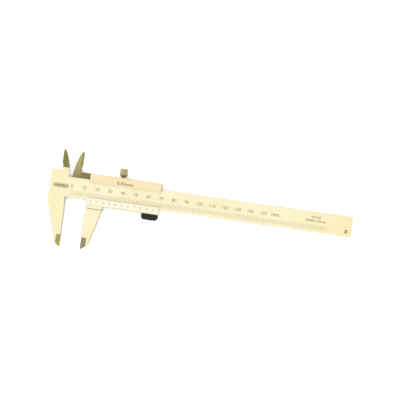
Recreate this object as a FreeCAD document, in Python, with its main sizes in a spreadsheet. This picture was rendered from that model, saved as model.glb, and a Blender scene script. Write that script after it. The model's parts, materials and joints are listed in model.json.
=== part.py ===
"""Vernier caliper, 0-150 mm, lying flat on its back.

X runs along the beam away from the jaws, Y across it towards the inside-measuring blades,
Z out of the graduated face. Beam-side pieces are drawn with X = 0 at the fixed measuring
face, slider-side pieces with X = 0 at the movable measuring face, and both with Y = 0 on
the beam's centreline and Z = 0 on the surface that the caliper lies on.
"""
import FreeCAD, Part
import math
import os
import re
import Sketcher

DIMENSIONS = {
    # where the slider stands
    "reading": 16.0,
    # thickness, counted from the back
    "slider_thick": 7.0,
    "back_wall": 1.7,
    "play": 0.05,
    "beam_thick": 3.5,
    "layer_gap": 0.1,
    # beam and head
    "beam_width": 16.0,
    "beam_end": 223.35,
    "head_left": -13.75,
    "head_top": 12.6,
    # outside jaws
    "jaw_tip": -47.1,
    "jaw_shoulder": -12.4,
    "jaw_corner": -43.0,
    "jaw_nose": 4.7,
    "jaw_toe": 0.7,
    "moving_jaw_nose": 6.4,
    "moving_nose_height": -42.0,
    "moving_jaw_toe": 1.2,
    "moving_toe_height": -46.5,
    "face_relief": 0.6,
    "relief_bottom": -20.0,
    "ground_width": 3.3,
    "moving_ground_width": 4.3,
    "ground_top": -37.3,
    "ground_depth": 1.9,
    # inside blades
    "blade_edge": -6.4,
    "blade_tip": 29.5,
    "moving_blade_tip": 29.1,
    "blade_neck": 0.9,
    "blade_neck_height": 17.8,
    "back_width_1": 6.4,
    "back_height_1": 13.2,
    "back_width_2": 5.9,
    "back_height_2": 16.8,
    "back_width_3": 5.05,
    "back_height_3": 20.2,
    "back_width_4": 3.8,
    "back_height_4": 24.0,
    "back_width_5": 3.0,
    "back_height_5": 26.0,
    "back_width_6": 1.85,
    "back_height_6": 27.9,
    "blade_ground": 14.7,
    "blade_ground_width": 4.3,
    "blade_bevel": 1.1,
    "facet_turn": 10.6,
    "facet_reach": 4.0,
    "facet_depth": 1.9,
    "arm_left": -13.15,
    "arm_root": 1.5,
    "arm_bottom": 8.1,
    "arm_top": 12.7,
    # slider
    "slider_start": 0.9,
    "slider_end": 56.95,
    "slider_top": 12.8,
    "slider_bottom": -12.15,
    "step_width": 13.4,
    "step_bottom": -14.4,
    "window_half": 5.95,
    "gib_channel": 8.95,
    # vernier plate
    "plate_edge": 11.55,
    "plate_thick": 0.8,
    # gib strip and its screws
    "gib_thick": 0.8,
    "gib_width": 3.2,
    "gib_start": 1.6,
    "gib_end": 56.0,
    "gib_gap": 0.03,
    "set_screw_left": 10.5,
    "set_screw_right": 47.0,
    "set_screw_radius": 1.2,
    "set_screw_top": 12.5,
    "dog_radius": 0.6,
    "dog_length": 0.3,
    "dimple_radius": 0.7,
    "dimple_depth": 0.4,
    # lock screw
    "lock_place": 25.9,
    "lock_radius": 1.45,
    "lock_hole_radius": 1.5,
    "lock_neck_radius": 1.1,
    "lock_neck_bottom": 12.4,
    "lock_head_radius": 3.1,
    "lock_head_bottom": 13.1,
    "lock_head_top": 20.2,
    "lock_chamfer": 0.7,
    "lock_cone_radius": 1.3,
    "lock_cone_height": 2.0,
    "lock_tip_gap": 0.05,
    "knurl_count": 36,
    "knurl_depth": 0.22,
    "lock_slot_width": 1.3,
    "lock_slot_depth": 1.4,
    # thumb grip and its screws
    "grip_left": 43.85,
    "grip_right": 56.7,
    "grip_seat": -12.0,
    "grip_bottom": -16.85,
    "grip_side": -15.0,
    "grip_cut": 1.5,
    "grip_back": 0.5,
    "grip_front": 6.5,
    "grip_groove_pitch": 1.2,
    "grip_groove_depth": 0.35,
    "grip_screw_inset": 3.4,
    "grip_screw_radius": 0.8,
    "grip_head_radius": 1.4,
    "grip_head_height": 1.0,
    "grip_head_sink": 1.4,
    "grip_screw_top": -9.4,
    # end stop at the back of the beam
    "stop_length": 10.0,
    "stop_half": 7.6,
    "stop_inset": 4.85,
    "stop_offset": 4.05,
    "stop_screw_radius": 1.0,
    "stop_head_radius": 1.9,
    "stop_head_height": 0.9,
    "stop_mouth_radius": 1.3,
    "stop_mouth_depth": 0.35,
    "dowel_radius": 1.0,
    "dowel_depth": 2.0,
    # small fits and roundings
    "thread_gap": 0.03,
    "head_gap": 0.1,
    "small_slot": 0.4,
    "edge_break": 0.2,
    "slider_chamfer": 0.35,
    "jaw_chamfer": 0.5,
    "grip_chamfer": 0.5,
    "round_head": 1.0,
    "round_nose": 1.6,
    "round_corner": 0.6,
    "overcut": 1.0,
}

NEAR = 0.1  # an edge whose middle is this close to a line, in millimetres, counts as on it

doc = FreeCAD.newDocument("VernierCaliper")
sheet = doc.addObject("Spreadsheet::Sheet", "Dims")
for row, (alias, value) in enumerate(DIMENSIONS.items(), 1):
    sheet.set(f"A{row}", alias)
    sheet.set(f"B{row}", str(value))
    sheet.setAlias(f"B{row}", alias)
doc.recompute()

# heights and places that several pieces share
BEAM_BACK = "back_wall + play"
BEAM_FRONT = "back_wall + play + beam_thick"
FRONT_LIP = "back_wall + 2 * play + beam_thick"
LAYER_TOP = "back_wall + play + (beam_thick - layer_gap) / 2"
MIDDLE = "back_wall + play + beam_thick / 2"
BEAM_TOP = "beam_width / 2"
GIB_TOP = "beam_width / 2 + gib_gap + gib_thick"
STOP_X = "beam_end - stop_inset"
BACK_CORNERS = 6
GRIP_SCREWS = ["grip_left + grip_screw_inset", "grip_right - grip_screw_inset"]
SHIFT_X = "-(head_left + beam_end) / 2"
SHIFT_Y = "-(jaw_tip + blade_tip) / 2"


def bound(text):
    """The expression with every alias pointed at the sheet."""
    return re.sub(r"[a-z]\w*", lambda word: "Dims." + word[0], str(text))


def number(text):
    return float(sheet.evalExpression(bound(text)))


def bind(thing, name, text):
    thing.setExpression(name, bound(text))


def new_body(label, x="0", y="0", z="0"):
    """A body drawn about its own datum, which stands at (x, y, z) from the beam's datum."""
    body = doc.addObject("PartDesign::Body", label)
    body.Label = label
    bind(body, "Placement.Base.x", f"{SHIFT_X} + {x}")
    bind(body, "Placement.Base.y", f"{SHIFT_Y} + {y}")
    bind(body, "Placement.Base.z", z)
    return body


def new_sketch(body, name, plane, height):
    sketch = body.newObject("Sketcher::SketchObject", name)
    origin_plane = next(f for f in body.Origin.OriginFeatures if f.Role == plane)
    sketch.AttachmentSupport = [(origin_plane, "")]
    sketch.MapMode = "FlatFace"
    bind(sketch, "AttachmentOffset.Base.z", height)
    return sketch


def place_point(sketch, curve, end, x, y):
    """Bind one point of a curve to its distances from the sketch's origin."""
    for kind, axis_text in (("DistanceX", x), ("DistanceY", y)):
        index = sketch.addConstraint(
            Sketcher.Constraint(kind, -1, 1, curve, end, number(axis_text))
        )
        bind(sketch, f"Constraints[{index}]", axis_text)


def polygon(body, name, plane, height, points):
    """A closed outline whose corners are pairs of expressions."""
    sketch = new_sketch(body, name, plane, height)
    corners = [FreeCAD.Vector(number(x), number(y), 0) for x, y in points]
    count = len(corners)
    for i in range(count):
        sketch.addGeometry(Part.LineSegment(corners[i], corners[(i + 1) % count]))
    for i in range(count):
        following = (i + 1) % count
        sketch.addConstraint(Sketcher.Constraint("Coincident", i, 2, following, 1))
    for i, (x, y) in enumerate(points):
        place_point(sketch, i, 1, x, y)
    return sketch


def rectangle(body, name, plane, height, x_pair, y_pair):
    (x1, x2), (y1, y2) = x_pair, y_pair
    return polygon(body, name, plane, height, [(x1, y1), (x2, y1), (x2, y2), (x1, y2)])


def circles(body, name, plane, height, radius, centres):
    sketch = new_sketch(body, name, plane, height)
    for i, (x, y) in enumerate(centres):
        centre = FreeCAD.Vector(number(x), number(y), 0)
        sketch.addGeometry(Part.Circle(centre, FreeCAD.Vector(0, 0, 1), number(radius)))
        place_point(sketch, i, 3, x, y)
        index = sketch.addConstraint(Sketcher.Constraint("Radius", i, number(radius)))
        bind(sketch, f"Constraints[{index}]", radius)
    return sketch


def pad(body, name, sketch, length):
    feature = body.newObject("PartDesign::Pad", name)
    feature.Profile = sketch
    bind(feature, "Length", length)
    sketch.Visibility = False
    doc.recompute()
    return feature


def pocket(body, name, sketch, length, along_normal=False):
    """Cut, against the sketch's normal unless told otherwise, and prove that it cut."""
    before = body.Shape.Volume
    feature = body.newObject("PartDesign::Pocket", name)
    feature.Profile = sketch
    bind(feature, "Length", length)
    feature.Reversed = along_normal
    doc.recompute()
    if body.Shape.Volume > before - 1e-6:
        raise RuntimeError(f"{name} removes nothing")
    return feature


def upright_edges(body, corners):
    """Names of the straight edges along Z that stand on the given corners."""
    near = 0.02
    wanted = [(number(x), number(y)) for x, y in corners]
    names = []
    for i, edge in enumerate(body.Tip.Shape.Edges, 1):
        box = edge.BoundBox
        middle = box.Center
        upright = box.XLength < near and box.YLength < near and box.ZLength > near
        if upright and any(math.dist((middle.x, middle.y), place) < near for place in wanted):
            names.append(f"Edge{i}")
    if len(names) < len(wanted):
        raise RuntimeError(f"{body.Label} lacks an upright edge at one of {wanted}")
    return names


def fillet(body, name, corners, radius):
    base = body.Tip
    names = upright_edges(body, corners)
    feature = body.newObject("PartDesign::Fillet", name)
    feature.Base = (base, names)
    bind(feature, "Radius", radius)
    doc.recompute()


def break_edges(body, name, height, size, keep=lambda x, y: True):
    """Chamfer the rims of the flat faces at a height, where their middles are to be kept."""
    base, level, near = body.Tip, number(height), 1e-4
    names = []
    for i, edge in enumerate(base.Shape.Edges, 1):
        box = edge.BoundBox
        flat = abs(box.ZMin - level) < near and abs(box.ZMax - level) < near
        if flat and keep(box.Center.x, box.Center.y):
            names.append(f"Edge{i}")
    feature = body.newObject("PartDesign::Chamfer", name)
    feature.Base = (base, names)
    bind(feature, "Size", size)
    doc.recompute()


def drill(body, name, plane, height, radius, centres, length, along_normal=False):
    pocket(body, name, circles(body, name + "Circles", plane, height, radius, centres),
           length, along_normal)


def turned(body, plane, profile):
    """A solid turned about the drawing's upright axis; corners are (radius, height)."""
    sketch = polygon(body, body.Label + "_profile", plane, "0", profile)
    feature = body.newObject("PartDesign::Revolution", "Turned")
    feature.Profile = sketch
    feature.ReferenceAxis = (sketch, ["V_Axis"])
    feature.Angle = 360.0
    sketch.Visibility = False
    doc.recompute()


def cross_slot(body, plane, bottom, top, width, reach):
    """A screwdriver slot across the end of a turned piece."""
    slot = rectangle(body, "SlotOutline", plane, f"-({reach})",
                     (f"-{width} / 2", f"{width} / 2"), (bottom, top))
    pocket(body, "Slot", slot, f"2 * ({reach})", along_normal=True)


def grind_edge(body, name, x_edge, x_inner, y_from, y_to, surface, at_edge):
    """A wedge that thins a measuring edge between two heights across the beam.

    surface is the height of the flat face, and at_edge the height left at the edge.
    """
    triangle = polygon(body, name + "Outline", "XZ_Plane", f"-({y_from})",
                       [(x_edge, surface), (x_inner, surface), (x_edge, at_edge)])
    downward = number(y_to) < number(y_from)
    length = f"{y_from} - ({y_to})" if downward else f"{y_to} - ({y_from})"
    pocket(body, name, triangle, length, along_normal=downward)


def blade_outline(side, tip, foot):
    """Up the knife blade's rounded back to its tip, down its edge, then the corners of its foot.

    side is 1 where the blade's back lies to the right of its measuring edge, or -1.
    """
    back = [(f"blade_edge + {side} * back_width_{i}", f"back_height_{i}")
            for i in range(1, BACK_CORNERS + 1)]
    edge = [
        ("blade_edge", tip),
        ("blade_edge", "blade_neck_height"),
        (f"blade_edge + {side} * blade_neck", "blade_neck_height - blade_neck"),
    ]
    return back + edge + foot


def away_from_blade(x, y):
    """True for the rim of the beam and the jaw, but not of the head's blade."""
    beam_top, blade = number(BEAM_TOP), number("blade_edge")
    return x < blade - NEAR or y < beam_top - NEAR or x > NEAR and y < beam_top + NEAR


def grind_blade_back(body):
    """The slanting facet that thins the fixed blade's back above the beam."""
    corner = [("0", BEAM_FRONT), ("facet_reach", BEAM_FRONT),
              ("facet_reach", BEAM_FRONT + " - facet_depth")]
    wedge = polygon(body, "BladeBackOutline", "XZ_Plane", f"-({BEAM_TOP} + play)", corner)
    wedge.AttachmentOffset = FreeCAD.Placement(
        wedge.AttachmentOffset.Base, FreeCAD.Rotation(FreeCAD.Vector(0, 1, 0), 0))
    bind(wedge, "AttachmentOffset.Rotation.Angle", "facet_turn")
    pocket(body, "BladeBack", wedge, "blade_tip")


def make_beam():
    """The graduated beam, forged in one with the fixed jaw, the head and the fixed blade."""
    body = new_body("beam")
    neck = "blade_edge + blade_neck"
    nose = ("-jaw_nose", "jaw_corner")
    toe = ("-jaw_toe", "jaw_tip")
    outline = polygon(body, "BeamOutline", "XY_Plane", BEAM_BACK, [
        ("head_left", "head_top"), ("head_left", "jaw_shoulder"), nose, toe,
        ("0", "jaw_tip"), ("0", "relief_bottom"), ("-face_relief", "-" + BEAM_TOP),
        ("beam_end", "-" + BEAM_TOP), ("beam_end", BEAM_TOP), ("0", BEAM_TOP),
    ] + blade_outline(1, "blade_tip", [(neck, "head_top")]))
    pad(body, "BeamBlank", outline, "beam_thick")

    above = rectangle(body, "HeadThinningOutline", "XY_Plane", LAYER_TOP + " + layer_gap",
                      ("head_left - overcut", "overcut"), (BEAM_TOP, "blade_tip + overcut"))
    pocket(body, "HeadThinning", above, "beam_thick")

    fillet(body, "RoundNose", [nose], "round_nose")
    fillet(body, "RoundHead", [("head_left", "head_top"), (neck, "head_top")], "round_head")
    fillet(body, "RoundEnd", [("beam_end", "-" + BEAM_TOP), ("beam_end", BEAM_TOP)],
           "round_corner")

    break_edges(body, "FrontEdges", BEAM_FRONT, "edge_break", away_from_blade)
    break_edges(body, "BackEdges", BEAM_BACK, "edge_break", away_from_blade)

    grind_edge(body, "JawGrind", "0", "-ground_width", "ground_top", "jaw_tip - overcut",
               BEAM_FRONT, BEAM_FRONT + " - ground_depth")
    grind_blade_back(body)
    grind_edge(body, "BladeGrind", "blade_edge", "blade_edge + blade_ground_width",
               "blade_ground", "blade_tip + overcut", BEAM_FRONT, BEAM_FRONT + " - blade_bevel")

    drill(body, "StopScrewHole", "XY_Plane", BEAM_FRONT, "stop_screw_radius + thread_gap",
          [(STOP_X, "-stop_offset")], "beam_thick")
    drill(body, "StopScrewMouth", "XY_Plane", BEAM_FRONT, "stop_mouth_radius",
          [(STOP_X, "-stop_offset")], "stop_mouth_depth")
    drill(body, "DowelHole", "XY_Plane", BEAM_BACK, "dowel_radius + thread_gap",
          [(STOP_X, "stop_offset")], "dowel_depth", along_normal=True)
    return body


def make_slider():
    """The sliding channel, forged in one with the moving jaw and the moving blade."""
    body = new_body("slider", "reading")
    block = polygon(body, "BlockOutline", "XY_Plane", "0", [
        ("slider_start", "slider_top"), ("slider_start", "step_bottom"),
        ("step_width", "step_bottom"), ("step_width", "slider_bottom"),
        ("grip_left", "slider_bottom"), ("grip_left", "grip_seat"),
        ("slider_end", "grip_seat"), ("slider_end", "slider_top"),
    ])
    pad(body, "Block", block, "slider_thick")
    fillet(body, "RoundBlock", [("slider_end", "slider_top"), ("step_width", "slider_bottom")],
           "round_corner")

    break_edges(body, "FrontEdges", "slider_thick", "slider_chamfer")
    break_edges(body, "BackEdges", "0", "slider_chamfer")

    length = "slider_end + 2 * overcut"
    passage = rectangle(body, "PassageOutline", "YZ_Plane", "-overcut",
                        ("-beam_width / 2 - play", "gib_channel"), ("back_wall", FRONT_LIP))
    pocket(body, "Passage", passage, length, along_normal=True)
    window = rectangle(body, "WindowOutline", "YZ_Plane", "-overcut",
                       ("-window_half", "window_half"), (MIDDLE, "slider_thick + overcut"))
    pocket(body, "Window", window, length, along_normal=True)
    plate_seat = "slider_thick - plate_thick"
    recess = rectangle(body, "PlateRecessOutline", "YZ_Plane", "-overcut",
                       ("-plate_edge", "0"), (plate_seat, "slider_thick + overcut"))
    pocket(body, "PlateRecess", recess, length, along_normal=True)

    nose = ("moving_jaw_nose", "moving_nose_height")
    toe = ("moving_jaw_toe", "moving_toe_height")
    jaw = polygon(body, "JawOutline", "XY_Plane", BEAM_BACK, [
        ("slider_start", "slider_bottom"), ("slider_start", "step_bottom"),
        ("face_relief", "step_bottom"), ("0", "relief_bottom"), ("0", "jaw_tip"), toe, nose,
        ("step_width", "step_bottom"), ("step_width", "slider_bottom"),
    ])
    pad(body, "Jaw", jaw, "beam_thick")
    fillet(body, "RoundJaw", [nose, toe], "round_head")
    below_block = number("step_bottom") - NEAR
    above_toe = number("jaw_tip + round_head")
    measuring_side = number("face_relief")
    behind_nose = number("moving_jaw_nose")
    break_edges(body, "JawBack", BEAM_FRONT, "jaw_chamfer",
                lambda x, y: y < below_block and x > behind_nose)
    break_edges(body, "JawFace", BEAM_FRONT, "edge_break",
                lambda x, y: above_toe < y < below_block and x < measuring_side)
    break_edges(body, "JawBackEdges", BEAM_BACK, "edge_break", lambda x, y: y < below_block)
    grind_edge(body, "JawGrind", "0", "moving_ground_width", "ground_top", "jaw_tip - overcut",
               BEAM_FRONT, BEAM_FRONT + " - ground_depth")

    neck = "blade_edge - blade_neck"
    root = "slider_start + arm_root"
    arm = polygon(body, "ArmOutline", "XY_Plane", BEAM_BACK, blade_outline(-1, "moving_blade_tip", [
        (neck, "arm_top"), ("slider_start", "arm_top"), ("slider_start", "slider_top"),
        (root, "slider_top"), (root, "gib_channel"), ("slider_start", "gib_channel"),
        ("slider_start", "arm_bottom"), ("arm_left", "arm_bottom"), ("arm_left", "slider_top")]))
    pad(body, "Arm", arm, "(beam_thick - layer_gap) / 2")
    fillet(body, "RoundArm", [(neck, "arm_top")], "round_head")
    clear_of_block = number("slider_start") - NEAR
    break_edges(body, "ArmEdges", LAYER_TOP, "edge_break",
                lambda x, y: x < clear_of_block and y > 0)
    grind_edge(body, "BladeGrind", "blade_edge", "blade_edge - blade_ground_width",
               "blade_ground", "blade_tip + overcut", BEAM_BACK, BEAM_BACK + " + blade_bevel")

    wall = "slider_top - gib_channel + overcut"
    drill(body, "LockHole", "XZ_Plane", "-slider_top", "lock_hole_radius",
          [("lock_place", MIDDLE)], wall, along_normal=True)
    drill(body, "SetScrewHoles", "XZ_Plane", "-slider_top", "set_screw_radius + thread_gap",
          [("set_screw_left", MIDDLE), ("set_screw_right", MIDDLE)], wall, along_normal=True)
    drill(body, "GripScrewHoles", "XZ_Plane", "-grip_seat", "grip_screw_radius + thread_gap",
          [(x, MIDDLE) for x in GRIP_SCREWS], "grip_screw_top - grip_seat + head_gap")
    return body


def make_vernier_plate():
    """The graduated strip let into the lower front of the slider."""
    body = new_body("vernier_plate", "reading")
    outline = rectangle(body, "PlateOutline", "XY_Plane", "slider_thick - plate_thick",
                        ("slider_start", "slider_end"), ("-plate_edge", "-window_half"))
    pad(body, "Plate", outline, "plate_thick")
    break_edges(body, "Rim", "slider_thick", "edge_break / 2")
    return body


def make_gib_strip():
    """The leaf between the beam's upper edge and the screws that set the running play."""
    body = new_body("gib_strip", "reading")
    outline = rectangle(body, "StripOutline", "XY_Plane", f"{MIDDLE} - gib_width / 2",
                        ("gib_start", "gib_end"), ("beam_width / 2 + gib_gap", GIB_TOP))
    pad(body, "Strip", outline, "gib_width")
    drill(body, "Dimples", "XZ_Plane", f"-({GIB_TOP})", "dimple_radius",
          [("set_screw_left", MIDDLE), ("set_screw_right", MIDDLE)], "dimple_depth",
          along_normal=True)
    return body


def make_set_screw(label, place):
    """A headless slotted screw whose dog point sits in the gib strip's dimple."""
    body = new_body(label, f"reading + {place}", z=MIDDLE)
    seat = GIB_TOP + " + gib_gap"
    turned(body, "XY_Plane", [
        ("0", GIB_TOP + " - dog_length"), ("dog_radius", GIB_TOP + " - dog_length"),
        ("dog_radius", seat), ("set_screw_radius", seat),
        ("set_screw_radius", "set_screw_top"), ("0", "set_screw_top")])
    cross_slot(body, "XY_Plane", "set_screw_top - small_slot", "set_screw_top + overcut",
               "small_slot", "set_screw_radius + overcut")
    return body


def make_lock_screw():
    """The screw that clamps the slider by pressing the gib strip on the beam."""
    body = new_body("lock_screw", "reading + lock_place", z=MIDDLE)
    tip = GIB_TOP + " + lock_tip_gap"
    turned(body, "XY_Plane", [
        ("0", tip), ("lock_radius - small_slot", tip), ("lock_radius", tip + " + small_slot"),
        ("lock_radius", "lock_neck_bottom"), ("lock_neck_radius", "lock_neck_bottom"),
        ("lock_neck_radius", "lock_head_bottom"), ("lock_cone_radius", "lock_head_bottom"),
        ("lock_head_radius", "lock_head_bottom + lock_cone_height"),
        ("lock_head_radius", "lock_head_top - lock_chamfer"),
        ("lock_head_radius - lock_chamfer", "lock_head_top"), ("0", "lock_head_top")])
    crest = "lock_head_radius + knurl_depth / 2"
    knurl = polygon(body, "KnurlOutline", "XZ_Plane", "-(lock_head_top + overcut)", [
        (crest, "knurl_depth"), ("lock_head_radius - knurl_depth", "0"), (crest, "-knurl_depth")])
    pocket(body, "KnurlGroove", knurl, "lock_head_top - lock_head_bottom + 2 * overcut",
           along_normal=True)
    knurls = body.newObject("PartDesign::PolarPattern", "Knurls")
    knurls.Originals = [doc.getObject("KnurlGroove")]
    knurls.Axis = (doc.getObject("lock_screw_profile"), ["V_Axis"])
    knurls.Angle = 360.0
    knurls.Occurrences = int(number("knurl_count"))
    body.Tip = knurls
    doc.recompute()
    cross_slot(body, "XY_Plane", "lock_head_top - lock_slot_depth", "lock_head_top + overcut",
               "lock_slot_width", "lock_head_radius + overcut")
    return body


def make_thumb_grip():
    """The ribbed rest for the thumb under the far end of the slider."""
    body = new_body("thumb_grip", "reading")
    outline = polygon(body, "GripOutline", "XY_Plane", "grip_back", [
        ("grip_left", "grip_seat"), ("grip_left", "grip_side"),
        ("grip_left + grip_cut", "grip_bottom"), ("grip_right - grip_cut", "grip_bottom"),
        ("grip_right", "grip_side"), ("grip_right", "grip_seat")])
    pad(body, "Grip", outline, "grip_front - grip_back")
    below_seat = number("grip_seat") - NEAR
    for name, height in (("FrontRim", "grip_front"), ("BackRim", "grip_back")):
        break_edges(body, name, height, "grip_chamfer", lambda x, y: y < below_seat)
    drill(body, "ScrewHoles", "XZ_Plane", "-grip_seat", "grip_screw_radius + thread_gap",
          [(x, MIDDLE) for x in GRIP_SCREWS], "grip_seat - grip_bottom + overcut",
          along_normal=True)
    drill(body, "HeadHoles", "XZ_Plane", "-grip_bottom", "grip_head_radius + head_gap",
          [(x, MIDDLE) for x in GRIP_SCREWS], "grip_head_sink")

    start = "grip_left + grip_cut + grip_groove_pitch / 2"
    end = start + " + 2 * grip_groove_depth"
    groove = polygon(body, "GrooveOutline", "XY_Plane", "grip_front + overcut", [
        (start, "grip_bottom - overcut"), (end, "grip_bottom - overcut"), (end, "grip_bottom"),
        (start + " + grip_groove_depth", "grip_bottom + grip_groove_depth"),
        (start, "grip_bottom")])
    pocket(body, "Groove", groove, "grip_front - grip_back + 2 * overcut")
    grooves = body.newObject("PartDesign::LinearPattern", "Grooves")
    grooves.Originals = [doc.getObject("Groove")]
    grooves.Direction = (groove, ["H_Axis"])
    room = number("grip_right - grip_left - 2 * grip_cut")
    grooves.Occurrences = int(room / number("grip_groove_pitch"))
    grooves.Length = (grooves.Occurrences - 1) * number("grip_groove_pitch")
    body.Tip = grooves
    doc.recompute()
    return body


def make_grip_screw(label, place):
    """A cheese-head screw that holds the thumb grip to the slider from below."""
    body = new_body(label, f"reading + {place}", z=MIDDLE)
    head_top = "grip_bottom + grip_head_sink"
    head_bottom = head_top + " - grip_head_height"
    turned(body, "XY_Plane", [
        ("0", head_bottom), ("grip_head_radius", head_bottom), ("grip_head_radius", head_top),
        ("grip_screw_radius", head_top), ("grip_screw_radius", "grip_screw_top"),
        ("0", "grip_screw_top")])
    cross_slot(body, "XY_Plane", head_bottom + " - overcut", head_bottom + " + small_slot",
               "small_slot", "grip_head_radius + overcut")
    return body


def make_end_stop_plate():
    """The plate behind the beam's far end that keeps the slider from running off."""
    body = new_body("end_stop_plate")
    outline = rectangle(body, "PlateOutline", "XY_Plane", "0",
                        ("beam_end - stop_length", "beam_end - head_gap"),
                        ("-stop_half", "stop_half"))
    pad(body, "Plate", outline, BEAM_BACK)
    drill(body, "ScrewHole", "XY_Plane", "0", "stop_screw_radius + thread_gap",
          [(STOP_X, "-stop_offset")], BEAM_BACK, along_normal=True)
    drill(body, "HeadHole", "XY_Plane", "0", "stop_head_radius + head_gap",
          [(STOP_X, "-stop_offset")], "stop_head_height + head_gap", along_normal=True)
    drill(body, "DowelHole", "XY_Plane", "0", "dowel_radius + thread_gap",
          [(STOP_X, "stop_offset")], BEAM_BACK, along_normal=True)
    break_edges(body, "Rim", "0", "edge_break")
    return body


def make_end_stop_screw():
    """The screw that holds the stop plate; its rounded end shows in the beam's face."""
    body = new_body("end_stop_screw", STOP_X, "-stop_offset")
    turned(body, "XZ_Plane", [
        ("0", "head_gap"), ("stop_head_radius", "head_gap"),
        ("stop_head_radius", "head_gap + stop_head_height"),
        ("stop_screw_radius", "head_gap + stop_head_height"),
        ("stop_screw_radius", BEAM_FRONT + " - stop_mouth_depth"),
        ("stop_screw_radius / 2", BEAM_FRONT + " - thread_gap"), ("0", BEAM_FRONT + " - thread_gap")])
    cross_slot(body, "XZ_Plane", "0", "head_gap + small_slot", "small_slot",
               "stop_head_radius + overcut")
    return body


def make_end_stop_dowel():
    """The pin that keeps the stop plate square to the beam."""
    body = new_body("end_stop_dowel", STOP_X, "stop_offset")
    turned(body, "XZ_Plane", [
        ("0", "head_gap"), ("dowel_radius", "head_gap"),
        ("dowel_radius", f"{BEAM_BACK} + dowel_depth - head_gap"),
        ("0", f"{BEAM_BACK} + dowel_depth - head_gap")])
    return body


def check_document():
    for thing in doc.Objects:
        if any(word in ("Invalid", "Error") for word in thing.State):
            raise RuntimeError(f"{thing.Label} did not recompute: {thing.State}")


def write(body):
    shape = body.Shape
    if shape.isNull() or not shape.isValid() or len(shape.Solids) != 1:
        raise RuntimeError(f"{body.Label} isn't one sound solid")
    shape.exportStep(f"parts/{body.Label}.step")
    box = shape.BoundBox
    print(f"{body.Label:22s} {shape.Volume:9.1f} mm3  {box.XLength:6.2f} x {box.YLength:5.2f}"
          f" x {box.ZLength:4.2f}")


pieces = [
    make_beam(),
    make_slider(),
    make_vernier_plate(),
    make_gib_strip(),
    make_set_screw("gib_screw_front", "set_screw_left"),
    make_set_screw("gib_screw_rear", "set_screw_right"),
    make_lock_screw(),
    make_thumb_grip(),
    make_grip_screw("grip_screw_front", GRIP_SCREWS[0]),
    make_grip_screw("grip_screw_rear", GRIP_SCREWS[1]),
    make_end_stop_plate(),
    make_end_stop_screw(),
    make_end_stop_dowel(),
]
doc.recompute()
check_document()
os.makedirs("parts", exist_ok=True)
for piece in pieces:
    write(piece)
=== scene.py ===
"""Looks of the vernier caliper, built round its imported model. Lengths are metres."""
import json
import math
import bmesh
import bpy
from mathutils import Matrix, Vector


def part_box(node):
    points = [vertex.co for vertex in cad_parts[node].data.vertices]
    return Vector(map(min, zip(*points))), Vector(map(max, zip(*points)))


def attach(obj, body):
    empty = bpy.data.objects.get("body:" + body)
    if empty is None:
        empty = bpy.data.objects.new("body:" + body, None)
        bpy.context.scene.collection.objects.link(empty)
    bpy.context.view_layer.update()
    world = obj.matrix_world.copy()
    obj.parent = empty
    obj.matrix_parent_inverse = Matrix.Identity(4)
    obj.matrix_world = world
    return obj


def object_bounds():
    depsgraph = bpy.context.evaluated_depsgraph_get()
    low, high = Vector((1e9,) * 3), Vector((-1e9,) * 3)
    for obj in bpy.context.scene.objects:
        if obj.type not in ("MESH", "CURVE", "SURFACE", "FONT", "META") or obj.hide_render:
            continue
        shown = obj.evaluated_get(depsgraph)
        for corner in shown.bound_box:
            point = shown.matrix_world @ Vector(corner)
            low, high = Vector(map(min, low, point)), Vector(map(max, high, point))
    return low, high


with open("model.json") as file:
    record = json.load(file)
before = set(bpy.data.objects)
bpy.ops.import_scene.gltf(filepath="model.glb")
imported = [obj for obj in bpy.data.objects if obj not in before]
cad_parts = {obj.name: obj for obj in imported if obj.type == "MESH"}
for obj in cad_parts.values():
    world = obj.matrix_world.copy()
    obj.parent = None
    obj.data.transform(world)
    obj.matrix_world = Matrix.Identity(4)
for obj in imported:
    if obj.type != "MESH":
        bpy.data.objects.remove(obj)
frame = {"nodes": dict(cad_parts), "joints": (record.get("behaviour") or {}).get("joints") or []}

cad_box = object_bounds()

MM = 0.001

# ---------------------------------------------------------------- places, from the frame
BEAM_HIGH = Vector(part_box("beam")[1])
PLATE_LOW, PLATE_HIGH = (Vector(corner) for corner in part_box("vernier_plate"))
SLIDER_HIGH = Vector(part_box("slider")[1])
STOP_LOW, STOP_HIGH = (Vector(corner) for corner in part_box("end_stop_plate"))
SCREW_LOW, SCREW_HIGH = (Vector(corner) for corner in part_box("end_stop_screw"))

SLIDE = next(joint for joint in frame["joints"] if joint["name"] == "slider_slide")
READING = -SLIDE["range_m"][0]
CENTRE_Y = (STOP_LOW.y + STOP_HIGH.y) / 2
PLATE_INSET = 0.9 * MM
BEAM_FACE = BEAM_HIGH.z
PLATE_FACE = PLATE_HIGH.z
MOVING_FACE = PLATE_LOW.x - PLATE_INSET
FIXED_FACE = MOVING_FACE - READING
READING_EDGE = PLATE_HIGH.y
STOP_SCREW = (SCREW_LOW + SCREW_HIGH) / 2
X, Y, Z = range(3)

# ---------------------------------------------------------------- graduations
ZERO_INSET = 3.65 * MM
MAIN_ZERO = FIXED_FACE + ZERO_INSET
VERNIER_ZERO = MOVING_FACE + ZERO_INSET
MAIN_COUNT = 200
MAIN_LENGTHS = (4.3 * MM, 3.9 * MM, 3.3 * MM)
MAIN_WIDTH = 0.14 * MM
NUMBERED_TO = 150
NUMBERED_EVERY = 10
VERNIER_COUNT = 50
VERNIER_PITCH = 0.98 * MM
VERNIER_LENGTHS = (1.75 * MM, 1.75 * MM, 1.2 * MM)
VERNIER_WIDTH = 0.08 * MM
VERNIER_NUMBERED_EVERY = 5

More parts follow.
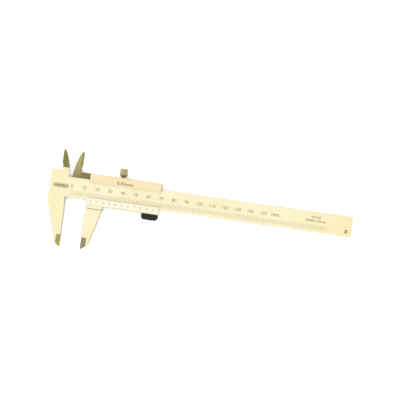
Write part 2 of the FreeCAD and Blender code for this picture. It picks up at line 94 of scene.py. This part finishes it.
# ---------------------------------------------------------------- marks
INK_SINK = 0.04 * MM
INK_RISE = 0.012 * MM
WELD = 0.001 * MM
FONT_CAP = 0.682  # height of a capital in Blender's own font at size 1
BEAM_TOP = (BEAM_FACE, "beam_body", "satin_steel")
SLIDER_TOP = (SLIDER_HIGH.z, "slider_body", "satin_steel")
PLATE_TOP = (PLATE_FACE, "slider_body", "satin_steel_light")

# ---------------------------------------------------------------- brightness
SKY = 2.2
SKY_BELOW = (0.33, 0.323, 0.31, 1)
SKY_LEVELS = ((0.3, 0.55), (0.6, 0.77), (0.82, 0.77))
SKY_OVERHEAD = (0.77, 0.77, 0.77, 1)
TONE_LEVEL = 0.752  # under the level overhead, which left flat steel 2 of 255 too dark in red
SCREEN_FROM, SCREEN_TO, SCREEN_DIM = 0.6, 0.95, 0.7
# painted shade: how far the tone of faces that don't look up is scaled down
BEAM_SIDE_SHADE = 0.85
SLIDER_SIDE_SHADE = 1.0

# ---------------------------------------------------------------- textures
MIDDLE = (0.3, 0.7)  # the middle range of a noise


# ================================================================ node helpers
class Nodes:
    """Short names for building one material's node tree."""

    def __init__(self, name):
        self.material = bpy.data.materials.new(name)
        self.material.use_nodes = True
        self.tree = self.material.node_tree
        self.shader = self.tree.nodes["Principled BSDF"]
        self.place = self.add("ShaderNodeTexCoord").outputs["Object"]

    def add(self, kind, **settings):
        node = self.tree.nodes.new(kind)
        for key, value in settings.items():
            setattr(node, key, value)
        return node

    def feed(self, socket, value):
        if isinstance(value, bpy.types.NodeSocket):
            self.tree.links.new(value, socket)
        else:
            socket.default_value = value

    def maths(self, operation, first, second):
        node = self.add("ShaderNodeMath", operation=operation)
        self.feed(node.inputs[0], first)
        self.feed(node.inputs[1], second)
        return node.outputs[0]

    def ramp(self, value, low, high, start=0.0, end=1.0):
        """value mapped from low..high to start..end, and held at the ends."""
        node = self.add("ShaderNodeMapRange")
        for socket, number in zip(node.inputs, (value, low, high, start, end)):
            self.feed(socket, number)
        return node.outputs[0]

    def mix(self, factor, first, second):
        """A mix of two colours, on the Mix node's colour sockets."""
        node = self.add("ShaderNodeMix", data_type="RGBA")
        self.feed(node.inputs[0], factor)
        self.feed(node.inputs[6], first)
        self.feed(node.inputs[7], second)
        return node.outputs[2]

    def blend(self, factor, first, second):
        """A mix of two numbers, on the Mix node's number sockets."""
        node = self.add("ShaderNodeMix", data_type="FLOAT")
        self.feed(node.inputs[0], factor)
        self.feed(node.inputs[2], first)
        self.feed(node.inputs[3], second)
        return node.outputs[0]

    def shade(self, colour, amount):
        """A colour scaled by an amount."""
        node = self.add("ShaderNodeVectorMath", operation="SCALE")
        self.feed(node.inputs[0], colour)
        self.feed(node.inputs["Scale"], amount)
        return node.outputs[0]

    def noise(self, scale, detail, stretch=(1, 1, 1)):
        mapping = self.add("ShaderNodeMapping")
        self.feed(mapping.inputs["Vector"], self.place)
        mapping.inputs["Scale"].default_value = stretch
        node = self.add("ShaderNodeTexNoise")
        self.feed(node.inputs["Vector"], mapping.outputs[0])
        node.inputs["Scale"].default_value = scale
        node.inputs["Detail"].default_value = detail
        return node.outputs["Fac"]

    def edges(self, radius):
        """0 on flat faces, rising towards 1 near a sharp edge, over about the radius."""
        rounded = self.add("ShaderNodeBevel", samples=6)
        rounded.inputs["Radius"].default_value = radius
        flat = self.add("ShaderNodeNewGeometry").outputs["True Normal"]
        dot = self.add("ShaderNodeVectorMath", operation="DOT_PRODUCT")
        self.feed(dot.inputs[0], rounded.outputs[0])
        self.feed(dot.inputs[1], flat)
        return self.ramp(dot.outputs["Value"], 0.999, 0.9)

    def bump(self, height, distance, strength):
        node = self.add("ShaderNodeBump")
        node.inputs["Distance"].default_value = distance
        node.inputs["Strength"].default_value = strength
        self.feed(node.inputs["Height"], height)
        self.feed(self.shader.inputs["Normal"], node.outputs[0])

    def inside(self, axis, low=None, high=None, soft=0.05 * MM):
        """1 where the object's own X, Y or Z lies between low and high."""
        split = self.add("ShaderNodeSeparateXYZ")
        self.feed(split.inputs[0], self.place)
        value, result = split.outputs[axis], 1.0
        if low is not None:
            result = self.ramp(value, low - soft, low + soft)
        if high is not None:
            below = self.ramp(value, high - soft, high + soft, 1.0, 0.0)
            result = below if low is None else self.maths("MULTIPLY", result, below)
        return result

    def both(self, first, second):
        """1 where both masks are 1."""
        return self.maths("MULTIPLY", first, second)

    def near(self, centre, radius, soft=0.05 * MM):
        """1 within a radius of an upright line."""
        flat = self.add("ShaderNodeVectorMath", operation="MULTIPLY")
        self.feed(flat.inputs[0], self.place)
        flat.inputs[1].default_value = (1, 1, 0)
        gap = self.add("ShaderNodeVectorMath", operation="DISTANCE")
        self.feed(gap.inputs[0], flat.outputs[0])
        gap.inputs[1].default_value = (centre.x, centre.y, 0)
        return self.ramp(gap.outputs["Value"], radius - soft, radius + soft, 1.0, 0.0)

    def slope(self, axis, low=0.4, high=0.6, start=0.0, end=1.0):
        """start to end as the face's normal goes from low to high along an axis."""
        split = self.add("ShaderNodeSeparateXYZ")
        self.feed(split.inputs[0], self.add("ShaderNodeNewGeometry").outputs["True Normal"])
        return self.ramp(split.outputs[axis], low, high, start, end)


def rgb(red, green, blue):
    """A linear colour from the eight-bit tone that it should show under the sky."""
    tone = []
    for value in (red, green, blue):
        value /= 255
        linear = value / 12.92 if value <= 0.04045 else ((value + 0.055) / 1.055) ** 2.4
        tone.append(linear / SKY)
    return (*tone, 1.0)


# ================================================================ materials
def satin_steel(name, face, warm, roughness=0.36, sides=SLIDER_SIDE_SHADE, zones=()):
    """Fine-ground steel: grain along X, cloudy tone, paler edges.

    sides is painted shade: it scales the tone of faces that don't look up, which are the side walls and
    the back.
    zones are (function of the nodes that gives a mask, a tone, another tone). Inside the mask the
    steel goes from one tone to the other in lines across the grain. Some zones are painted shade or
    light.
    """
    n = Nodes(name)
    grain = n.noise(1.0, 3.0, (120, 6500, 6500))
    cloud = n.noise(38.0, 2.0, (1, 2.2, 1))
    speck = n.noise(2600.0, 2.0)
    lap = n.noise(1.0, 3.0, (5200, 260, 5200))
    edge = n.edges(0.2 * MM)
    colour = n.mix(n.ramp(cloud, 0.35, 0.65), face, warm)
    rough = n.maths("ADD", n.ramp(grain, *MIDDLE, roughness - 0.05, roughness + 0.06),
                    n.ramp(speck, 0.45, 0.7, 0.0, 0.05))
    for mask_of, first, second in zones:
        mask = mask_of(n)
        colour = n.mix(mask, colour, n.mix(n.ramp(lap, 0.25, 0.75), first, second))
        rough = n.blend(mask, rough, n.ramp(lap, *MIDDLE, 0.25, 0.33))
    colour = n.shade(colour, n.ramp(grain, *MIDDLE, 0.975, 1.02))
    # painted shade on faces that don't look up
    colour = n.shade(colour, n.slope(Z, 0.1, 0.6, sides, 1.0))
    colour = n.mix(n.maths("MULTIPLY", edge, 0.12), colour, rgb(255, 250, 235))
    n.feed(n.shader.inputs["Base Color"], colour)
    n.feed(n.shader.inputs["Roughness"], n.maths("SUBTRACT", rough, n.maths("MULTIPLY", edge, 0.1)))
    n.shader.inputs["Metallic"].default_value = 1.0
    n.bump(n.maths("ADD", grain, n.maths("MULTIPLY", speck, 0.4)), 0.004 * MM, 0.35)
    return n.material


def jaw_tip(edge, side, width):
    """The mask of a jaw's tip, from 1 mm before its measuring face to a width behind it."""
    low, high = sorted((edge - side * 1 * MM, edge + side * width))
    return lambda n: n.both(n.inside(Y, high=CENTRE_Y - 37.3 * MM), n.inside(X, low, high))


def fixed_blade(n):
    return n.inside(Y, low=CENTRE_Y + 14.7 * MM)


def fixed_blade_back(n):
    """Painted light on the fixed blade's faces that look towards the slider, paler than its top."""
    return n.both(n.inside(Y, low=CENTRE_Y + 8.3 * MM), n.slope(X))


def moving_arm(n):
    """The moving blade's arm and foot, up to where the slider begins."""
    return n.both(n.inside(Y, low=CENTRE_Y + 8.1 * MM), n.inside(X, high=MOVING_FACE + 1.05 * MM))


def moving_blade(n):
    """The lighter blade that stands on the arm."""
    return n.both(n.inside(Y, low=CENTRE_Y + 12.0 * MM, soft=6 * MM),
                  n.inside(X, high=MOVING_FACE - 7.4 * MM, soft=1.2 * MM))


def lower_slider(n):
    return n.inside(Y, high=CENTRE_Y)


def slider_back(n):
    """The back, given one look all over because the photo doesn't show it."""
    return n.slope(Z, -0.95, -0.85, 1.0, 0.0)


def head(n):
    """The slightly deeper tone of the beam's jaw end."""
    return n.inside(X, high=MAIN_ZERO - 1 * MM, soft=6 * MM)


def moving_jaw_end(n):
    """The slightly deeper tone of the moving jaw's lower half."""
    return n.inside(Y, high=CENTRE_Y - 24 * MM, soft=8 * MM)


def plate_end(n):
    """The slightly deeper tone of the vernier's right end."""
    return n.inside(X, low=MOVING_FACE + 42 * MM, soft=12 * MM)


def step_corner(n):
    """Painted shade in the corner where the moving jaw leaves the slider's block."""
    return n.both(n.inside(Y, CENTRE_Y - 14.65 * MM, CENTRE_Y - 14.0 * MM, soft=0.15 * MM),
                  n.inside(X, MOVING_FACE + 1.4 * MM, MOVING_FACE + 13.3 * MM, soft=0.3 * MM))


def free_end(n):
    """The slightly deeper tone towards the beam's free end."""
    return n.inside(X, low=MAIN_ZERO + 196 * MM, soft=22 * MM)


def back_chamfer(n):
    """Painted shade on the chamfer down the moving jaw's outer side, on its faces that look along X and
    up.
    """
    return n.both(n.both(n.inside(Y, high=CENTRE_Y - 14.6 * MM), n.slope(X)), n.slope(Z))


def stop_mouth(n):
    """Painted shade in the mouth in the beam's face round the end stop screw."""
    return n.near(STOP_SCREW, 1.36 * MM)


def turned_steel(name, light, dark, roughness):
    """Screw steel: stained, with worn edges, and fine lines that run round a screw along Y."""
    n = Nodes(name)
    lines = n.noise(1.0, 2.0, (1500, 6500, 1500))
    stain = n.noise(900.0, 3.0)
    edge = n.edges(0.15 * MM)
    colour = n.mix(n.ramp(stain, 0.35, 0.7), light, dark)
    colour = n.mix(n.maths("MULTIPLY", edge, 0.4), colour, rgb(225, 214, 170))
    n.feed(n.shader.inputs["Base Color"], colour)
    n.feed(n.shader.inputs["Roughness"],
           n.ramp(lines, *MIDDLE, roughness - 0.06, roughness + 0.08))
    n.shader.inputs["Metallic"].default_value = 1.0
    n.bump(lines, 0.006 * MM, 0.4)
    return n.material


def rolled_bronze():
    n = Nodes("rolled_bronze")
    grain = n.noise(1.0, 3.0, (120, 5000, 5000))
    cloud = n.noise(300.0, 2.0)
    colour = n.mix(n.ramp(cloud, 0.35, 0.65), (0.40, 0.22, 0.09, 1), (0.52, 0.31, 0.14, 1))
    n.feed(n.shader.inputs["Base Color"], colour)
    n.feed(n.shader.inputs["Roughness"], n.ramp(grain, *MIDDLE, 0.24, 0.4))
    n.shader.inputs["Metallic"].default_value = 1.0
    n.bump(grain, 0.004 * MM, 0.4)
    return n.material


def moulded_black():
    """Matt black plastic with a fine moulded grain and slightly paler edges."""
    n = Nodes("moulded_black")
    pebble = n.noise(3800.0, 3.0)
    cloud = n.noise(260.0, 2.0)
    edge = n.edges(0.25 * MM)
    colour = n.mix(n.ramp(cloud, *MIDDLE), (0.003, 0.003, 0.0025, 1), (0.0055, 0.0055, 0.0045, 1))
    colour = n.mix(n.maths("MULTIPLY", edge, 0.5), colour, (0.018, 0.018, 0.016, 1))
    n.feed(n.shader.inputs["Base Color"], colour)
    n.feed(n.shader.inputs["Roughness"], n.ramp(pebble, *MIDDLE, 0.5, 0.68))
    n.shader.inputs["Specular IOR Level"].default_value = 0.17
    n.bump(pebble, 0.02 * MM, 0.6)
    return n.material


def ink(name, tone, faded):
    """Line filling: dull, and paler in places."""
    n = Nodes(name)
    wear = n.noise(1400.0, 3.0)
    n.feed(n.shader.inputs["Base Color"], n.mix(n.ramp(wear, 0.45, 0.75), tone, faded))
    n.feed(n.shader.inputs["Roughness"], n.ramp(wear, *MIDDLE, 0.55, 0.8))
    n.shader.inputs["Specular IOR Level"].default_value = 0.08
    return n.material


def paper_floor():
    n = Nodes("pale_floor")
    fibre = n.noise(120.0, 4.0)
    n.feed(n.shader.inputs["Base Color"],
           n.mix(n.ramp(fibre, *MIDDLE), (0.90, 0.90, 0.90, 1), (0.93, 0.93, 0.93, 1)))
    n.shader.inputs["Roughness"].default_value = 0.9
    n.shader.inputs["Specular IOR Level"].default_value = 0.0
    return n.material


BEAM_STEEL = satin_steel("beam_steel", rgb(254, 246, 209), rgb(252, 240, 198), sides=BEAM_SIDE_SHADE, zones=[
    (head, rgb(252, 242, 201), rgb(250, 237, 192)),
    (free_end, rgb(252, 238, 192), rgb(250, 234, 186)),
    (jaw_tip(FIXED_FACE, -1, 3.3 * MM), rgb(166, 155, 100), rgb(192, 180, 122)),
    (fixed_blade, rgb(117, 111, 65), rgb(140, 132, 80)),
    # painted light: a pale tone on the fixed blade's faces that look towards the slider
    (fixed_blade_back, rgb(232, 224, 200), rgb(244, 238, 218)),
    # painted shade in the mouth round the end stop screw
    (stop_mouth, rgb(92, 70, 34), rgb(120, 94, 52)),
])
SLIDER_STEEL = satin_steel("slider_steel", rgb(252, 236, 196), rgb(250, 229, 184), zones=[
    (lower_slider, rgb(253, 242, 202), rgb(254, 245, 209)),
    (slider_back, rgb(253, 242, 202), rgb(254, 245, 209)),
    (moving_jaw_end, rgb(252, 238, 196), rgb(252, 241, 202)),
    # painted shade in the corner under the slider's step
    (step_corner, rgb(186, 174, 136), rgb(205, 194, 156)),
    # painted shade on the moving jaw's right-facing chamfer
    (back_chamfer, rgb(196, 184, 150), rgb(214, 202, 168)),
    (jaw_tip(MOVING_FACE, 1, 4.3 * MM), rgb(142, 136, 94), rgb(168, 160, 118)),
    (moving_arm, rgb(124, 117, 74), rgb(145, 136, 90)),
    (moving_blade, rgb(170, 159, 106), rgb(192, 180, 124)),
])
PLATE_STEEL = satin_steel("vernier_steel", rgb(255, 251, 232), rgb(254, 247, 222), 0.42, zones=[
    (plate_end, rgb(254, 249, 222), rgb(253, 245, 212)),
])
STOP_STEEL = satin_steel("stop_steel", rgb(240, 228, 190), rgb(228, 214, 172), 0.4)
SCREW_STEEL = turned_steel("screw_steel", rgb(150, 138, 104), rgb(96, 82, 58), 0.36)
LOCK_STEEL = turned_steel("lock_steel", rgb(232, 220, 164), rgb(205, 193, 138), 0.34)
STUD_STEEL = turned_steel("stud_steel", rgb(252, 240, 200), rgb(226, 210, 165), 0.34)
BRONZE = rolled_bronze()
BLACK = moulded_black()
SCALE_INK = ink("scale_ink", (0.05, 0.047, 0.03, 1), (0.14, 0.13, 0.085, 1))
FINE_INK = ink("fine_ink", (0.36, 0.35, 0.26, 1), (0.46, 0.45, 0.35, 1))
LETTER_INK = ink("letter_ink", (0.03, 0.027, 0.004, 1), (0.07, 0.063, 0.014, 1))

NODE_MATERIALS = {
    "beam": BEAM_STEEL,
    "slider": SLIDER_STEEL,
    "vernier_plate": PLATE_STEEL,
    "gib_strip": BRONZE,
    "gib_screw_front": SCREW_STEEL,
    "gib_screw_rear": SCREW_STEEL,
    "lock_screw": LOCK_STEEL,
    "thumb_grip": BLACK,
    "grip_screw_front": SCREW_STEEL,
    "grip_screw_rear": SCREW_STEEL,
    "end_stop_plate": STOP_STEEL,
    "end_stop_screw": STUD_STEEL,
    "end_stop_dowel": SCREW_STEEL,
}
for node_name, node_material in NODE_MATERIALS.items():
    node = frame["nodes"][node_name]
    for material_slot in node.material_slots:
        material_slot.material = node_material


# ================================================================ marks on the faces
def finish_piece(name, mesh_edit, material, body):
    """Turns a finished edit into a piece that rides on a body."""
    mesh = bpy.data.meshes.new(name)
    mesh_edit.to_mesh(mesh)
    mesh_edit.free()
    piece = bpy.data.objects.new(name, mesh)
    bpy.context.scene.collection.objects.link(piece)
    mesh.materials.append(material)
    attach(piece, body)


def add_bar(mesh_edit, low, high):
    """A closed bar between two corners."""
    middle = (Vector(low) + Vector(high)) / 2
    size = Vector(high) - Vector(low)
    place = Matrix.Translation(middle) @ Matrix.Diagonal((*size, 1))
    bmesh.ops.create_cube(mesh_edit, size=1.0, matrix=place)


def graduations(name, zero, pitch, count, direction, lengths, width, surface, filling):
    """Lines that run up (1) or down (-1) from the reading edge.

    lengths are for every tenth, fifth and other line. surface is (height, body, slot).
    """
    face, body, slot = surface
    tenth, fifth, other = lengths
    marks = bmesh.new()
    for i in range(count + 1):
        length = tenth if i % 10 == 0 else fifth if i % 5 == 0 else other
        x = zero + i * pitch
        y1, y2 = sorted((READING_EDGE, READING_EDGE + direction * length))
        add_bar(marks, (x - width / 2, y1, face - INK_SINK), (x + width / 2, y2, face + INK_RISE))
    finish_piece(name, marks, filling, body)


def lettering(name, words, height, centre, surface, material, width=None, thin=0.0):
    """Words as one closed relief, centred on a place of a surface. thin draws the strokes in."""
    face, body, slot = surface
    curve = bpy.data.curves.new(name + "_outline", "FONT")
    curve.body = words
    curve.size = height / FONT_CAP
    curve.resolution_u = 3
    curve.offset = -thin
    curve.extrude = (INK_SINK + INK_RISE) / 2
    source = bpy.data.objects.new(name + "_outline", curve)
    bpy.context.scene.collection.objects.link(source)
    bpy.context.view_layer.update()
    mesh = bpy.data.meshes.new_from_object(source.evaluated_get(bpy.context.evaluated_depsgraph_get()))
    bpy.data.objects.remove(source)
    xs = [v.co.x for v in mesh.vertices]
    left, right = min(xs), max(xs)
    stretch = 1.0 if width is None else width / (right - left)
    letters = bmesh.new()
    letters.from_mesh(mesh)
    bmesh.ops.remove_doubles(letters, verts=letters.verts, dist=WELD)
    shift = Vector((-(left + right) / 2 * stretch, -height / 2, 0))
    for v in letters.verts:
        v.co.x *= stretch
        v.co += shift + Vector((*centre, face + (INK_RISE - INK_SINK) / 2))
    finish_piece(name, letters, material, body)


def main_scale():
    graduations("main_graduations", MAIN_ZERO, MM, MAIN_COUNT, 1, MAIN_LENGTHS, MAIN_WIDTH,
                BEAM_TOP, SCALE_INK)
    for number in range(0, NUMBERED_TO + 1, NUMBERED_EVERY):
        lettering(f"main_numeral_{number}", str(number), 2.5 * MM,
                  (MAIN_ZERO + number * MM, CENTRE_Y + 1.15 * MM), BEAM_TOP, SCALE_INK, thin=0.02 * MM)
    lettering("main_unit", "mm", 2.9 * MM, (MAIN_ZERO + 159.2 * MM, CENTRE_Y + 1.35 * MM),
              BEAM_TOP, SCALE_INK, width=6.0 * MM)


def vernier_scale():
    graduations("vernier_graduations", VERNIER_ZERO, VERNIER_PITCH, VERNIER_COUNT, -1,
                VERNIER_LENGTHS, VERNIER_WIDTH, PLATE_TOP, FINE_INK)
    for line in range(0, VERNIER_COUNT + 1, VERNIER_NUMBERED_EVERY):
        number = line // VERNIER_NUMBERED_EVERY
        lettering(f"vernier_numeral_{number}", str(number % 10), 1.6 * MM,
                  (VERNIER_ZERO + line * VERNIER_PITCH, CENTRE_Y - 8.65 * MM), PLATE_TOP, SCALE_INK,
                  thin=0.01 * MM)


def words_on_the_faces():
    lettering("resolution_mark", "0.02mm", 2.3 * MM,
              (MAIN_ZERO + 40.8 * MM, CENTRE_Y + 8.15 * MM), SLIDER_TOP, LETTER_INK,
              width=12.4 * MM, thin=-0.03 * MM)
    lettering("range_mark_upper", "METRIC", 2.0 * MM,
              (MAIN_ZERO + 191.3 * MM, CENTRE_Y + 3.7 * MM), BEAM_TOP, LETTER_INK,
              width=7.5 * MM, thin=0.02 * MM)
    lettering("range_mark_lower", "RANGE 0-150 mm", 1.6 * MM,
              (MAIN_ZERO + 190.9 * MM, CENTRE_Y + 0.9 * MM), BEAM_TOP, LETTER_INK,
              width=15.2 * MM, thin=-0.02 * MM)


EMBLEM_CENTRE = Vector((MAIN_ZERO - 8.4 * MM, CENTRE_Y + 0.5 * MM))
EMBLEM_HALF = Vector((6.1 * MM, 1.6 * MM))
EMBLEM_LINE = 0.24 * MM
EMBLEM_END_STEPS = 12
EMBLEM_BARS = 11
EMBLEM_BAR_PITCH = 0.95 * MM
EMBLEM_BAR_HALF_WIDTH = 0.3 * MM
EMBLEM_BAR_HALF_HEIGHT = 0.95 * MM


def emblem_ring(inset):
    """Points round a bar with half-round ends, that far inside the emblem's outline."""
    radius = EMBLEM_HALF.y - inset
    ring = []
    for side in (1, -1):
        end = side * (EMBLEM_HALF.x - EMBLEM_HALF.y)
        for step in range(EMBLEM_END_STEPS + 1):
            angle = math.radians(-90 * side + 180 * step / EMBLEM_END_STEPS)
            ring.append(EMBLEM_CENTRE + Vector((end + radius * math.cos(angle),
                                                radius * math.sin(angle))))
    return ring


def head_emblem():
    """A plain mark: a rounded frame with a row of short bars in it."""
    emblem = bmesh.new()
    face, body, slot = BEAM_TOP
    low, high = face - INK_SINK, face + INK_RISE
    rings = [emblem_ring(inset) for inset in (0.0, EMBLEM_LINE)]
    levels = [[emblem.verts.new((p.x, p.y, z)) for p in ring] for z in (low, high) for ring in rings]
    outer_low, inner_low, outer_high, inner_high = levels
    count = len(outer_low)
    for i in range(count):
        j = (i + 1) % count
        emblem.faces.new((outer_low[i], outer_low[j], outer_high[j], outer_high[i]))
        emblem.faces.new((inner_low[j], inner_low[i], inner_high[i], inner_high[j]))
        emblem.faces.new((outer_high[i], outer_high[j], inner_high[j], inner_high[i]))
        emblem.faces.new((outer_low[j], outer_low[i], inner_low[i], inner_low[j]))
    for step in range(EMBLEM_BARS):
        x = EMBLEM_CENTRE.x + (step - EMBLEM_BARS // 2) * EMBLEM_BAR_PITCH
        add_bar(emblem, (x - EMBLEM_BAR_HALF_WIDTH, EMBLEM_CENTRE.y - EMBLEM_BAR_HALF_HEIGHT, low),
                (x + EMBLEM_BAR_HALF_WIDTH, EMBLEM_CENTRE.y + EMBLEM_BAR_HALF_HEIGHT, high))
    finish_piece("head_emblem", emblem, LETTER_INK, body)


main_scale()
vernier_scale()
words_on_the_faces()
head_emblem()


# ================================================================ floor, light, camera
FLOOR_REACH = 3.0  # from its middle to each side
FLOOR_GAP = 0.05 * MM


def make_floor():
    mesh_edit = bmesh.new()
    bmesh.ops.create_grid(mesh_edit, x_segments=1, y_segments=1, size=FLOOR_REACH)
    mesh = bpy.data.meshes.new("floor")
    mesh_edit.to_mesh(mesh)
    mesh_edit.free()
    floor = bpy.data.objects.new("floor", mesh)
    floor.location.z = cad_box[0][Z] - FLOOR_GAP
    bpy.context.scene.collection.objects.link(floor)
    mesh.materials.append(paper_floor())


def make_sky():
    """A light tent that dims towards the floor, with a screen that dims its right side."""
    world = bpy.data.worlds.new("studio")
    bpy.context.scene.world = world
    world.use_nodes = True
    tree = world.node_tree
    link = tree.links.new
    split = tree.nodes.new("ShaderNodeSeparateXYZ")
    link(tree.nodes.new("ShaderNodeTexCoord").outputs["Generated"], split.inputs[0])

    ramp = tree.nodes.new("ShaderNodeValToRGB")
    stops = ramp.color_ramp.elements
    stops[0].color = SKY_BELOW
    stops[1].color = SKY_OVERHEAD
    for height, level in SKY_LEVELS:
        stops.new(height).color = (level, level, level, 1)
    link(split.outputs["Z"], ramp.inputs[0])

    screen = tree.nodes.new("ShaderNodeMapRange")
    for socket, number in zip(screen.inputs[1:], (SCREEN_FROM, SCREEN_TO, 1.0, SCREEN_DIM)):
        socket.default_value = number
    link(split.outputs["X"], screen.inputs[0])
    strength = tree.nodes.new("ShaderNodeMath")
    strength.operation = "MULTIPLY"
    strength.inputs[1].default_value = SKY / TONE_LEVEL
    link(screen.outputs[0], strength.inputs[0])

    background = tree.nodes["Background"]
    link(ramp.outputs[0], background.inputs["Color"])
    link(strength.outputs[0], background.inputs["Strength"])


def soft_light(name, place, size, power):
    lamp = bpy.data.lights.new(name, "AREA")
    lamp.shape = "SQUARE"
    lamp.size = size
    lamp.energy = power
    light = bpy.data.objects.new(name, lamp)
    light.location = place
    light.rotation_euler = (-Vector(place)).to_track_quat("-Z", "Y").to_euler()
    bpy.context.scene.collection.objects.link(light)


PLANE_WIDTH = 309.85 * MM  # of the view, at the beam's face
CAMERA_HEIGHT = 480 * MM  # above the beam's face
CAMERA_TURN = math.radians(8.13)  # levels the photo's row of numerals
AIM = (MAIN_ZERO + 99.75 * MM, CENTRE_Y + 4.3 * MM)


def make_camera():
    """Straight above, with the beam running slightly down to the right."""
    data = bpy.data.cameras.new("camera")
    data.sensor_width = 36.0
    data.lens = data.sensor_width * CAMERA_HEIGHT / PLANE_WIDTH
    data.clip_start = 0.01
    camera = bpy.data.objects.new("camera", data)
    camera.location = (*AIM, BEAM_FACE + CAMERA_HEIGHT)
    camera.rotation_euler = (0.0, 0.0, CAMERA_TURN)
    bpy.context.scene.collection.objects.link(camera)
    bpy.context.scene.camera = camera


bpy.context.scene.view_settings.view_transform = "Standard"
make_floor()
make_sky()
soft_light("key", place=(-0.9, 0.5, 0.45), size=0.8, power=4.0)
soft_light("fill", place=(0.9, -0.6, 0.45), size=0.8, power=3.0)
make_camera()
